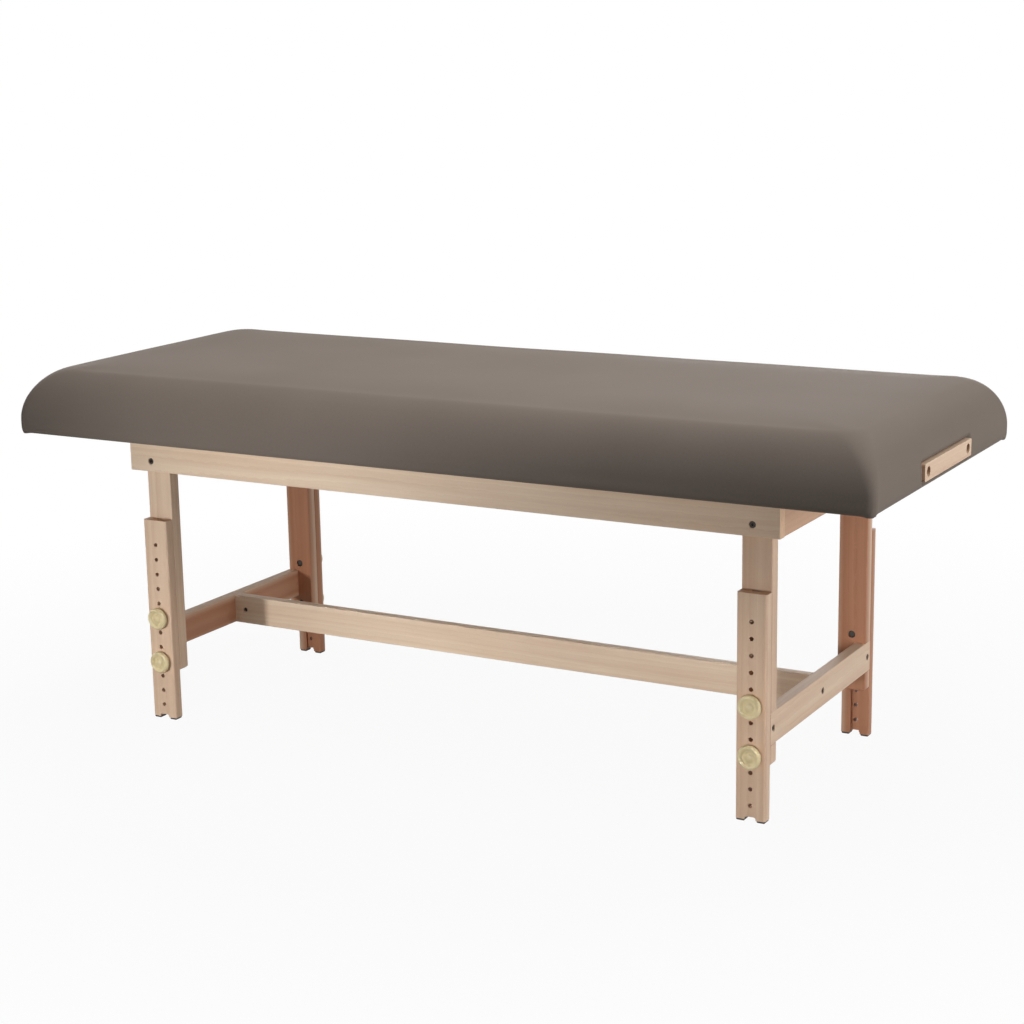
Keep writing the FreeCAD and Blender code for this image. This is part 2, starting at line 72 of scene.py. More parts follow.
def blend_colours(tree, share, first, second, blend_type="MIX"):
    """The colour between two others at a share that may change over the surface."""
    mixed = add_node(tree, "ShaderNodeMix", data_type="RGBA", blend_type=blend_type)
    for socket, value in ((mixed.inputs[0], share), (mixed.inputs[6], first), (mixed.inputs[7], second)):
        if isinstance(value, bpy.types.NodeSocket):
            tree.links.new(value, socket)
        else:
            socket.default_value = value
    return mixed.outputs[2]


def reckon(tree, operation, *values):
    """The result of one sum on numbers or sockets."""
    return add_node(tree, "ShaderNodeMath", dict(enumerate(values)), operation=operation).outputs[0]


def stretched(tree, vector, scale):
    """The vector with its axes scaled, which draws a pattern out along the grain."""
    return add_node(tree, "ShaderNodeVectorMath", {0: vector, 1: scale}, operation="MULTIPLY").outputs[0]


def spread(tree, value, low, high, to_low=0.0, to_high=1.0):
    """The value carried from one range to another, held at the ends."""
    limits = {"Value": value, "From Min": low, "From Max": high, "To Min": to_low, "To Max": to_high}
    return add_node(tree, "ShaderNodeMapRange", limits).outputs[0]


def make_timber_figure():
    """Growth rings, streaks, fibres and flecks of maple, along the X of the vector it takes, with a painted
    red-brown shade within a reach of the heart axis.
    """
    takes = {"Along Grain": "Vector", "End Grain": "Float", "Painted Shade Reach": "Float",
             "Pale": "Color", "Dark": "Color"}
    gives = {"Color": "Color", "Roughness": "Float", "Height": "Float"}
    group, given, result = new_group("timber figure", takes, gives)
    lay = given["Along Grain"]
    drift = add_node(group, "ShaderNodeTexNoise", {
        "Vector": stretched(group, lay, (1.3, 7.0, 7.0)), "Scale": 1.0, "Detail": 2.0})
    centred = add_node(group, "ShaderNodeVectorMath", {
        0: drift.outputs["Color"], 1: (0.5, 0.5, 0.5)}, operation="SUBTRACT").outputs[0]
    wander = add_node(group, "ShaderNodeVectorMath", {
        0: centred, 1: (0.0, 0.022, 0.022)}, operation="MULTIPLY").outputs[0]
    bent = add_node(group, "ShaderNodeVectorMath", {0: lay, 1: wander}, operation="ADD").outputs[0]
    rings = add_node(group, "ShaderNodeTexWave", {
        "Vector": bent, "Scale": 34.0, "Distortion": 1.6, "Detail": 2.0, "Detail Scale": 1.5},
        wave_type="RINGS", rings_direction="X", wave_profile="SAW").outputs["Fac"]
    streaks = add_node(group, "ShaderNodeTexNoise", {
        "Vector": stretched(group, bent, (1.2, 62.0, 62.0)), "Scale": 1.0, "Detail": 4.0}).outputs["Fac"]
    fibres = add_node(group, "ShaderNodeTexNoise", {
        "Vector": stretched(group, bent, (16.0, 700.0, 700.0)), "Scale": 1.0, "Detail": 2.0}).outputs["Fac"]
    clouds = add_node(group, "ShaderNodeTexNoise", {
        "Vector": stretched(group, lay, (2.6, 9.0, 9.0)), "Scale": 1.0, "Detail": 3.0}).outputs["Fac"]
    cells = add_node(group, "ShaderNodeTexVoronoi", {
        "Vector": stretched(group, bent, (150.0, 1300.0, 1300.0)), "Scale": 1.0}).outputs["Distance"]
    flecks = spread(group, cells, 0.12, 0.26, 1.0, 0.0)
    ring_share, streak_share, fibre_share, cloud_share, fleck_share = 0.22, 0.42, 0.18, 0.3, 0.3
    tone = reckon(group, "MULTIPLY", rings, ring_share)
    tone = reckon(group, "MULTIPLY_ADD", spread(group, streaks, 0.34, 0.68), streak_share, tone)
    tone = reckon(group, "MULTIPLY_ADD", fibres, fibre_share, tone)
    tone = reckon(group, "MULTIPLY_ADD", spread(group, clouds, 0.35, 0.7), cloud_share, tone)
    figured = blend_colours(group, tone, given["Pale"], given["Dark"])
    fleck_depth = reckon(group, "MULTIPLY", flecks, fleck_share)
    flecked = blend_colours(group, fleck_depth, figured, given["Dark"], "MULTIPLY")
    # Painted shade: within the given reach of the heart axis, the colour is multiplied by a red-brown,
    # which darkens the faces that lie next to that axis.
    off_heart = add_node(group, "ShaderNodeVectorMath", {
        0: stretched(group, bent, (0.0, 1.0, 1.0))}, operation="LENGTH").outputs["Value"]
    past_shade_reach = reckon(group, "SUBTRACT", off_heart, given["Painted Shade Reach"])
    in_painted_shade = spread(group, past_shade_reach, -0.008, 0.004, 1.0, 0.0)
    painted_shade_red, end_grain_thirst = (0.69, 0.45, 0.36, 1), 0.5
    shade_painted = blend_colours(group, in_painted_shade, flecked, painted_shade_red, "MULTIPLY")
    thirsty = blend_colours(group, end_grain_thirst, shade_painted, given["Dark"], "MULTIPLY")
    coloured = blend_colours(group, given["End Grain"], shade_painted, thirsty)
    grooves = reckon(group, "SUBTRACT", fibres, reckon(group, "MULTIPLY", flecks, 0.6))
    group.links.new(coloured, result.inputs["Color"])
    group.links.new(spread(group, fibres, 0.2, 0.8, 0.38, 0.52), result.inputs["Roughness"])
    group.links.new(grooves, result.inputs["Height"])
    return group


timber_figure = make_timber_figure()
grain_turns = {"X": (0.0, 0.0, 0.0), "Y": (0.0, 0.0, -math.pi / 2), "Z": (0.0, math.pi / 2, 0.0)}
maple_pale = (0.92, 0.755, 0.58)
maple_dark = (0.715, 0.505, 0.355)


def toned(colour, depth):
    """The colour made deeper and redder, as one board differs from the next."""
    fall = (depth, depth * 1.5, depth * 1.75)
    return tuple(part * (1.0 - drop) for part, drop in zip(colour, fall)) + (1.0,)


def timber(node, along, depth, heart, painted_shade_reach=0.0):
    """Lacquered maple for one board: grain axis, tone, where the tree's heart lay, and how far round it a
    painted red-brown shade reaches.
    """
    finish = bpy.data.materials.new("maple " + node)
    finish.use_nodes = True
    tree = finish.node_tree
    low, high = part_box(node)
    middle = (low + high) / 2
    turned = {
        "X": middle,
        "Y": Vector((middle.y, -middle.x, middle.z)),
        "Z": Vector((middle.z, middle.y, -middle.x)),
    }[along]
    along_log = middle.x * 3.1 + middle.y * 5.3
    place = Vector((along_log, heart[0], heart[1])) - turned
    where = add_node(tree, "ShaderNodeTexCoord")
    lay = add_node(tree, "ShaderNodeMapping", {
        "Vector": where.outputs["Object"], "Rotation": grain_turns[along], "Location": place})
    facing = add_node(tree, "ShaderNodeSeparateXYZ", {0: where.outputs["Normal"]}).outputs[along]
    ends = spread(tree, reckon(tree, "ABSOLUTE", facing), 0.6, 0.85)
    figure = add_node(tree, "ShaderNodeGroup", node_tree=timber_figure)
    tones = {"Pale": toned(maple_pale, depth), "Dark": toned(maple_dark, depth), "Painted Shade Reach": painted_shade_reach}
    for socket, value in tones.items():
        figure.inputs[socket].default_value = value
    tree.links.new(lay.outputs[0], figure.inputs["Along Grain"])
    tree.links.new(ends, figure.inputs["End Grain"])
    bump = add_node(tree, "ShaderNodeBump", {
        "Height": figure.outputs["Height"], "Strength": 0.25, "Distance": 0.0003})
    skin = tree.nodes["Principled BSDF"]
    skin.inputs["Specular IOR Level"].default_value = 0.14
    skin.inputs["Coat Weight"].default_value = 0.03
    skin.inputs["Coat Roughness"].default_value = 0.35
    for socket, output in (("Base Color", "Color"), ("Roughness", "Roughness")):
        tree.links.new(figure.outputs[output], skin.inputs[socket])
    tree.links.new(bump.outputs[0], skin.inputs["Normal"])
    return finish


def dress(node, finish):
    """Gives a CAD node its finish."""
    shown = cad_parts[node]
    shown.data.materials.clear()
    shown.data.materials.append(finish)


def board(node, along, depth, heart, painted_shade_reach=0.0):
    """Gives a timber node maple of its own, with the grain along one axis."""
    dress(node, timber(node, along, depth, heart, painted_shade_reach))


board("side_apron_front", "X", depth=-0.03, heart=(0.07, 0.05))
board("side_apron_back", "X", depth=0.05, heart=(0.05, -0.08))
board("end_apron_head", "Y", depth=0.29, heart=(-0.06, 0.06))
board("end_apron_foot", "Y", depth=0.06, heart=(0.08, 0.03))
board("apron_dowels", "X", depth=0.1, heart=(0.02, 0.02))


# Upper legs: four maple boards bolted inside the aprons. Each carries the leg bolts
# and is lapped for the cross stretcher. The back pair has a painted red-brown shade on its inner faces.
upper_tones = {"head_front": 0.15, "foot_front": 0.05, "head_back": 0.1, "foot_back": 0.1}
for corner, depth in upper_tones.items():
    # The back legs' heart axis lies just past their inner faces, so the painted shade darkens those faces.
    painted_shade_reach = 0.037 if corner.endswith("back") else 0.0
    board("upper_leg_" + corner, "Z", depth, heart=(0.03, 0.004), painted_shade_reach=painted_shade_reach)


# Stretchers: two cross boards lapped into the legs and one long board bolted
# between them, which keep the table from racking.
board("cross_stretcher_head", "Y", depth=0.03, heart=(0.06, -0.04))
# The foot stretcher's heart axis lies just past its inner face, so a painted red-brown shade darkens that
# face.
board("cross_stretcher_foot", "Y", depth=0.02, heart=(0.03, 0.004), painted_shade_reach=0.037)
board("long_stretcher", "X", depth=0.0, heart=(0.04, 0.07))


# Lower legs: four maple boards that slide on the outside of the upper legs. Each
# has a row of bored holes, a planed groove on its inner face and a notched foot.
lower_tones = {"head_front": 0.12, "foot_front": 0.1, "head_back": 0.12, "foot_back": 0.12}
for order, (corner, depth) in enumerate(lower_tones.items()):
    # The back lower legs get a painted red-brown shade on their inner faces.
    painted_shade_reach = 0.04 if corner.endswith("back") else 0.0
    heart = (0.028, 0.004 + 0.003 * order)
    board("lower_leg_" + corner, "Z", depth, heart, painted_shade_reach)


# Deck: a plywood board on cleats and joists under the padding, with a bored rail
# glued behind the head end for the posts of a face rest.
for side in ("front", "back"):
    board("deck_cleat_" + side, "X", depth=0.08, heart=(0.05, 0.05))
for end in ("head", "foot"):
    board("deck_joist_" + end, "Y", depth=0.08, heart=(0.06, 0.04))
board("deck_board", "X", depth=0.05, heart=(0.0, 0.012))
board("head_rail", "Y", depth=0.05, heart=(0.05, 0.05))


# Face rest plate: a small maple plate fixed over the vinyl at the head end, with two
# holes that lead the posts into the rail.
board("face_rest_plate", "Y", depth=0.11, heart=(0.05, 0.06))


# Metal fittings: blackened bolts and washers, barrel nuts, deck screws, and the
# brass threaded inserts in the legs and the knobs.
def make_handling_marks():
    """Mottled tone and gloss that handling and plating leave on a small hard piece."""
    takes = {"Vector": "Vector", "Grain": "Float", "Colour": "Color", "Worn": "Color"}
    gives = {"Color": "Color", "Gloss Change": "Float", "Height": "Float"}
    group, given, result = new_group("handling marks", takes, gives)
    clouds = add_node(group, "ShaderNodeTexNoise", {
        "Vector": given["Vector"], "Scale": given["Grain"], "Detail": 4.0}).outputs["Fac"]
    finer = reckon(group, "MULTIPLY", given["Grain"], 9.0)
    specks = add_node(group, "ShaderNodeTexNoise", {
        "Vector": given["Vector"], "Scale": finer, "Detail": 2.0}).outputs["Fac"]
    mottled = blend_colours(group, spread(group, clouds, 0.35, 0.7), given["Colour"], given["Worn"])
    group.links.new(mottled, result.inputs["Color"])
    group.links.new(spread(group, clouds, 0.3, 0.7, -0.5, 0.5), result.inputs["Gloss Change"])
    group.links.new(specks, result.inputs["Height"])
    return group


handling_marks = make_handling_marks()


def hard_finish(name, colour, worn, grain, roughness, gloss_range, bump_strength, metallic=0.0):
    """A hard finish with mottled tone, gloss and a fine bump."""
    finish = bpy.data.materials.new(name)
    finish.use_nodes = True
    tree = finish.node_tree
    where = add_node(tree, "ShaderNodeTexCoord").outputs["Object"]
    marks = add_node(tree, "ShaderNodeGroup", node_tree=handling_marks)
    tree.links.new(where, marks.inputs["Vector"])
    for socket, value in (("Grain", grain), ("Colour", colour), ("Worn", worn)):
        marks.inputs[socket].default_value = value
    skin = tree.nodes["Principled BSDF"]
    skin.inputs["Metallic"].default_value = metallic
    tree.links.new(marks.outputs["Color"], skin.inputs["Base Color"])
    change = reckon(tree, "MULTIPLY", marks.outputs["Gloss Change"], gloss_range)
    tree.links.new(reckon(tree, "ADD", change, roughness), skin.inputs["Roughness"])
    bump = add_node(tree, "ShaderNodeBump", {
        "Height": marks.outputs["Height"], "Strength": bump_strength, "Distance": 0.0002})
    tree.links.new(bump.outputs[0], skin.inputs["Normal"])
    return finish


black_oxide = hard_finish(
    "black oxide", colour=(0.030, 0.023, 0.018, 1), worn=(0.055, 0.042, 0.033, 1),
    grain=180.0, roughness=0.5, gloss_range=0.2, bump_strength=0.1, metallic=0.4)
brass = hard_finish(
    "brass", colour=(0.62, 0.44, 0.18, 1), worn=(0.5, 0.34, 0.13, 1),
    grain=180.0, roughness=0.36, gloss_range=0.2, bump_strength=0.1, metallic=1.0)
blackened = ("leg_bolts", "knob_washers", "apron_bolts", "stretcher_bolts", "barrel_nuts", "deck_screws")
for fitting in blackened:
    dress(fitting, black_oxide)
dress("leg_inserts", brass)


# Clamp knobs: eight round ivory knobs of moulded plastic on the leg bolts, which
# clamp each lower leg at its height.
ivory = hard_finish(
    "ivory plastic", colour=(0.72, 0.60, 0.35, 1), worn=(0.63, 0.51, 0.275, 1),
    grain=60.0, roughness=0.4, gloss_range=0.12, bump_strength=0.06)
ivory.node_tree.nodes["Principled BSDF"].inputs["Coat Weight"].default_value = 0.15
for corner in upper_tones:
    for level in ("lower", "upper"):
        dress(f"clamp_knob_{corner}_{level}", ivory)
        dress(f"knob_insert_{corner}_{level}", brass)


# Foot pads: thin glides of dark moulded rubber, fixed under the two toes of each leg
# so that the timber stands clear of the floor.
rubber = hard_finish(
    "foot rubber", colour=(0.035, 0.03, 0.027, 1), worn=(0.06, 0.053, 0.047, 1),
    grain=90.0, roughness=0.7, gloss_range=0.15, bump_strength=0.3)
for corner in upper_tones:
    dress("foot_pads_" + corner, rubber)


# Padded top: two layers of foam under one sheet of grey vinyl, drawn over the edges,
# gathered at the corners and stapled under the deck. The plate presses a seat in it.
pad_low, pad_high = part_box("vinyl_cover")
deck_low, deck_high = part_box("deck_board")
plate_low, plate_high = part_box("face_rest_plate")
pad_top = pad_high.z + 0.006
pad_reach = (pad_high.x - 0.0025, pad_high.y - 0.0055)
pad_rolls = (0.060, 0.070)
roll_fullness = 1.75
pad_widest = deck_low.z + 0.0375
# The cut of the cover before it is filled: this much past the pad's reach at the sides,
# and this much under its top, where less than 0 is above it.
side_ease = 0.003
top_ease = -0.001
pad_crown = 0.0005
pad_corner = 0.018
tucked_corner = 0.010
corner_growth = 0.6
vinyl_fold = 0.045
cells_along, cells_across = 116, 88
roll_rings = 15


def crowded(reach, count, close_to, crowding, breadth):
    """Shares from -1 to 1 of a side's reach, closer together near some distances from its middle."""
    samples = 2000
    walked = [0.0]
    for sample in range(samples):
        here = abs(reach * (2.0 * (sample + 0.5) / samples - 1.0))
        near = sum(math.exp(-(((here - place) / breadth) ** 2)) for place in close_to)
        walked.append(walked[-1] + 1.0 + crowding * near)
    shares = []
    sample = 0
    for order in range(count):
        wanted = walked[-1] * order / count
        while walked[sample + 1] < wanted:
            sample += 1
        within = (wanted - walked[sample]) / (walked[sample + 1] - walked[sample])
        shares.append(2.0 * (sample + within) / samples - 1.0)
    return shares


shares_along = crowded(pad_high.x, cells_along, (pad_high.x,), crowding=1.6, breadth=0.12)
shares_across = crowded(pad_high.y, cells_across, (pad_high.y, plate_high.y), crowding=1.6, breadth=0.05)


def side_run(half, radius, shares):
    """Points on one side of an outline, along and in, from one corner's middle to the next one's."""
    straight = half - radius
    reach = straight + radius * math.pi / 4
    for share in shares:
        walked = reach * share
        turn = max(abs(walked) - straight, 0.0) / radius
        along = min(abs(walked), straight) + radius * math.sin(turn)
        yield math.copysign(along, walked), radius * (1.0 - math.cos(turn))


def outline_ring(half_x, half_y, radius):
    """One ring of the pad, counter-clockwise from its foot front corner."""
    long_side = list(side_run(half_x, radius, shares_along))
    short_side = list(side_run(half_y, radius, shares_across))
    ring = [(along, into - half_y) for along, into in long_side]
    ring += [(half_x - into, along) for along, into in short_side]
    ring += [(-along, half_y - into) for along, into in long_side]
    return ring + [(into - half_x, -along) for along, into in short_side]


def pad_stations():
    """Each ring's insets, height and corner, from the flat top over the edge to under the deck."""
    flat = pad_top - pad_crown - top_ease
    stations = []
    for step in range(roll_rings + 1):
        turn = math.pi / 2 * (1.0 - step / roll_rings)
        insets = [roll * (1.0 - abs(math.cos(turn)) ** (2 / roll_fullness)) for roll in pad_rolls]
        rise = (flat - pad_widest) * math.sin(turn) ** (2 / roll_fullness)
        stations.append((insets, pad_widest + rise, pad_corner + corner_growth * insets[0]))
    deck_reach = (deck_high.x, deck_high.y)
    stand_off, lining_gap = 0.0016, 0.0014
    fold_turn, fold_corner, corner_easing, vinyl_thick = 0.004, 0.004, 0.003, 0.001
    tucks = [reach + side_ease - deck - stand_off for reach, deck in zip(pad_reach, deck_reach)]
    under = pad_low.z

    def tucked(further, height, radius):
        stations.append(([tuck + further for tuck in tucks], height, radius))

    for degrees in (18, 36, 54, 70):
        turn = math.radians(degrees)
        share = 1.0 - math.cos(turn)
        radius = pad_corner + (tucked_corner - pad_corner) * share
        height = pad_widest - (pad_widest - under) * math.sin(turn)
        stations.append(([tuck * share for tuck in tucks], height, radius))
    tucked(0.0, under + 0.0012, tucked_corner)
    tucked(fold_turn, under, tucked_corner - corner_easing)
    for share in (0.33, 0.66, 1.0):
        tucked(share * vinyl_fold, under, fold_corner)
    tucked(vinyl_fold, under + vinyl_thick, fold_corner)
    tucked(fold_turn, under + vinyl_thick, tucked_corner - corner_easing)
    tucked(lining_gap, under + 0.005, tucked_corner)
    tucked(lining_gap, deck_high.z - 0.004, tucked_corner)
    on_deck = deck_high.z + 0.0004
    tucked(0.006, on_deck, tucked_corner)
    tucked(0.09, on_deck, fold_corner)
    return stations


def add_field(mesh, ring, crown):
    """Closes the top ring with a grid of faces that follows the ring's sides, raised to a crown."""
    field = {}
    corners_at = [(column, 0) for column in range(cells_along)]
    corners_at += [(cells_along, row) for row in range(cells_across)]
    corners_at += [(column, cells_across) for column in range(cells_along, 0, -1)]
    corners_at += [(0, row) for row in range(cells_across, 0, -1)]
    for place, point in zip(corners_at, ring):
        field[place] = point
    for column in range(1, cells_along):
        for row in range(1, cells_across):
            u = (shares_along[column] + 1.0) / 2
            v = (shares_across[row] + 1.0) / 2
            front, back = field[column, 0].co, field[column, cells_across].co
            foot, head = field[0, row].co, field[cells_along, row].co
            ends = field[0, 0].co * (1 - u) * (1 - v) + field[cells_along, 0].co * u * (1 - v)
            ends += field[0, cells_across].co * (1 - u) * v + field[cells_along, cells_across].co * u * v
            point = front * (1 - v) + back * v + foot * (1 - u) + head * u - ends
            point.z += crown * math.sin(math.pi * u) ** 0.5 * math.sin(math.pi * v) ** 0.7
            field[column, row] = mesh.verts.new(point)
    for column in range(cells_along):
        for row in range(cells_across):
            mesh.faces.new((field[column, row], field[column + 1, row],
                            field[column + 1, row + 1], field[column, row + 1]))


def sew_pad():
    """The cover before it is filled: the flat top, the rolled edge and the fold under the deck."""
    mesh = bmesh.new()
    rings = []
    for insets, height, radius in pad_stations():
        half_x, half_y = (reach + side_ease - inset for reach, inset in zip(pad_reach, insets))
        outline = outline_ring(half_x, half_y, radius)
        rings.append([mesh.verts.new((x, y, height)) for x, y in outline])
    add_field(mesh, rings[0], pad_crown)
    for inner, outer in zip(rings, rings[1:]):
        for step in range(len(inner)):
            after = (step + 1) % len(inner)
            mesh.faces.new((inner[step], outer[step], outer[after], inner[after]))
    bmesh.ops.recalc_face_normals(mesh, faces=mesh.faces)
    sewn = bpy.data.meshes.new("padded_top")
    mesh.to_mesh(sewn)
    mesh.free()
    return sewn


padded_top = bpy.data.objects.new("padded_top", sew_pad())
bpy.context.scene.collection.objects.link(padded_top)


def fill_pad(pad, most, even_out):
    """Swells the cover by its foam: stapled and glued parts are held, travel is capped and evened out."""
    held = pad.vertex_groups.new(name="held")
    drawn_tight, margin, moments = pad_low.z + 0.0125, 0.001, 20
    fixed = []
    for point in pad.data.vertices:
        x, y, z = point.co
        over_deck = abs(x) < deck_high.x + margin and abs(y) < deck_high.y + margin
        if z < drawn_tight or (over_deck and z < deck_high.z + margin):
            fixed.append(point.index)
    held.add(fixed, 1.0, "REPLACE")
    cloth = pad.modifiers.new("fill", "CLOTH")
    settings = cloth.settings
    settings.quality = 6
    settings.mass = 0.4
    settings.tension_stiffness = 30.0
    settings.compression_stiffness = 30.0
    settings.shear_stiffness = 12.0
    settings.bending_stiffness = 1.5
    settings.use_pressure = True
    settings.uniform_pressure_force = 4.0
    settings.vertex_group_mass = "held"
    settings.effector_weights.gravity = 0.0
    cloth.collision_settings.use_collision = False
    scene = bpy.context.scene
    for moment in range(1, moments + 1):
        scene.frame_set(moment)
    filled = pad.evaluated_get(bpy.context.evaluated_depsgraph_get()).data
    places = [point.co.copy() for point in filled.vertices]
    pad.modifiers.remove(cloth)
    pad.vertex_groups.remove(held)
    travels = []
    for point, place in zip(pad.data.vertices, places):
        travel = place - point.co
        travels.append(travel * min(most / max(travel.length, 1e-9), 1.0))
    beside = [[] for _ in places]
    for edge in pad.data.edges:
        for one, other in (edge.vertices, reversed(edge.vertices)):
            beside[one].append(other)
    still = set(fixed)
    for _ in range(even_out):
        evened = []
        for point, travel in enumerate(travels):
            if point not in still:
                around = [travels[other] for other in beside[point]]
                travel = sum(around, Vector()) / len(around)
            evened.append(travel)
        travels = evened
    for point, travel in zip(pad.data.vertices, travels):
        point.co += travel
    scene.frame_set(1)


fill_pad(padded_top, most=0.004, even_out=10)

rounder = padded_top.modifiers.new("rounder", "SUBSURF")
rounder.levels = rounder.render_levels = 1
smoothed = padded_top.evaluated_get(bpy.context.evaluated_depsgraph_get())
rounded = bpy.data.meshes.new_from_object(smoothed)
padded_top.modifiers.remove(rounder)
padded_top.data = rounded
rounded.name = "padded_top"


def eased(value, low, high):
    """A soft step from 0 at low to 1 at high."""
    share = min(max((value - low) / (high - low), 0.0), 1.0)
    return share * share * (3.0 - 2.0 * share)


def gather_corners(cover):
    """Draws each corner down to a tip under the deck, with a few pleats fanning out above it."""
    pleats, pleat_depth, tip_drop = 5, 0.0016, 0.005
    corner_zone, pleat_start, tip_run = 0.04, 0.012, 0.03
    fan_full, fan_end = 0.25, 0.75
    centre = Vector((pad_reach[0] - pad_corner, pad_reach[1] - pad_corner))
    for point in cover.vertices:
        x, y, z = abs(point.co.x), abs(point.co.y), point.co.z
        out = Vector((x, y)) - centre
        if out.x < -corner_zone or out.y < -corner_zone:
            continue
        around = math.atan2(out.y, out.x) / (math.pi / 2)
        low = 1.0 - eased(z, pad_low.z, pad_widest + 0.02)
        close = 1.0 - eased(abs(around - 0.5), fan_full, fan_end)
        fold = 0.5 - 0.5 * math.cos(2 * math.pi * pleats * around)
        if z > pad_low.z + 0.002 and out.length > pleat_start:
            inward = out.normalized() * (-pleat_depth * fold * low * close)
            point.co.x += math.copysign(inward.x, point.co.x)
            point.co.y += math.copysign(inward.y, point.co.y)
        tip = eased(out.x + out.y, 0.0, tip_run)
        point.co.z -= tip_drop * tip * (1.0 - eased(z, pad_low.z + 0.003, pad_widest))


def press_plate_seat(cover):
    """Presses the cover back where the plate is fixed, with a soft shoulder round it."""
    shoulder, relief, clearance = 0.014, 0.03, 0.0003
    seat = plate_low.x - clearance
    deck_underside = deck_low.z - 0.0005
    for point in cover.vertices:
        if point.co.x < deck_high.x - relief or point.co.z < deck_underside:
            continue
        beside = max(abs(point.co.y) - plate_high.y, 0.0)
        above = max(point.co.z - plate_high.z, plate_low.z - point.co.z, 0.0)
        away = min(math.hypot(beside, above) / shoulder, 1.0)
        point.co.x = min(point.co.x, seat + relief * away * away)


def slacken(cover, depth, breadth):
    """Leaves the slight unevenness that hand stretching gives the cover."""
    normals = [point.normal.copy() for point in cover.vertices]
    for point, normal in zip(cover.vertices, normals):
        if point.co.z > deck_high.z:
            point.co += normal * (depth * noise.noise(point.co / breadth))


slacken(padded_top.data, depth=0.0012, breadth=0.22)
gather_corners(padded_top.data)
press_plate_seat(padded_top.data)


def close_cover(cover):
    """Closes the cover over the deck, where the foam is glued down and nothing shows."""
    mesh = bmesh.new()
    mesh.from_mesh(cover)
    open_edges = [edge for edge in mesh.edges if edge.is_boundary]
    bmesh.ops.holes_fill(mesh, edges=open_edges, sides=0)
    bmesh.ops.recalc_face_normals(mesh, faces=mesh.faces)
    for face in mesh.faces:
        face.smooth = True
    mesh.to_mesh(cover)
    mesh.free()


close_cover(padded_top.data)


def make_vinyl():
    """Grey vinyl with a fine pressed leather grain and a soft sheen."""
    finish = bpy.data.materials.new("grey vinyl")
    finish.use_nodes = True
    tree = finish.node_tree
    where = add_node(tree, "ShaderNodeTexCoord").outputs["Object"]
    pebbles = add_node(tree, "ShaderNodeTexVoronoi", {
        "Vector": where, "Scale": 620.0}, feature="SMOOTH_F1").outputs["Distance"]
    creases = add_node(tree, "ShaderNodeTexNoise", {
        "Vector": where, "Scale": 240.0, "Detail": 3.0}).outputs["Fac"]
    clouds = add_node(tree, "ShaderNodeTexNoise", {
        "Vector": where, "Scale": 3.0, "Detail": 3.0}).outputs["Fac"]
    height = reckon(tree, "MULTIPLY_ADD", pebbles, 0.7, reckon(tree, "MULTIPLY", creases, 0.5))
    shade = reckon(tree, "MULTIPLY_ADD", creases, 0.35, reckon(tree, "MULTIPLY", clouds, 0.65))
    pale, deep = (0.212, 0.176, 0.149, 1), (0.194, 0.161, 0.135, 1)
    colour = blend_colours(tree, spread(tree, shade, 0.38, 0.62), deep, pale)
    bump = add_node(tree, "ShaderNodeBump", {"Height": height, "Strength": 0.22, "Distance": 0.0004})
    skin = tree.nodes["Principled BSDF"]
    skin.inputs["Specular IOR Level"].default_value = 0.05
    tree.links.new(colour, skin.inputs["Base Color"])
    tree.links.new(spread(tree, creases, 0.3, 0.7, 0.6, 0.7), skin.inputs["Roughness"])
    tree.links.new(bump.outputs[0], skin.inputs["Normal"])
    return finish


padded_top.data.materials.clear()
padded_top.data.materials.append(make_vinyl())
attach(padded_top, "frame")
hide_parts("vinyl_cover", "top_foam", "base_foam")


# Staples: a row of bright wire staples along the fold under the deck, shot by hand
# at about a finger's width, so no two lie quite alike.
staple_wire = hard_finish(
    "staple wire", colour=(0.46, 0.45, 0.43, 1), worn=(0.34, 0.33, 0.31, 1),
    grain=300.0, roughness=0.32, gloss_range=0.2, bump_strength=0.05, metallic=1.0)
staple_inset = 0.03


def staple_row():
    """The line of the staples, as a loop of edges just under the folded vinyl."""
    half_x, half_y = deck_high.x - staple_inset, deck_high.y - staple_inset
    height = pad_low.z - 0.0003
    line = bpy.data.meshes.new("staple_row")
    corners = [(-half_x, -half_y), (half_x, -half_y), (half_x, half_y), (-half_x, half_y)]
    ends = [(x, y, height) for x, y in corners]
    line.from_pydata(ends, [(0, 1), (1, 2), (2, 3), (3, 0)], [])
    row = bpy.data.objects.new("vinyl_staples", line)
    bpy.context.scene.collection.objects.link(row)
    return row


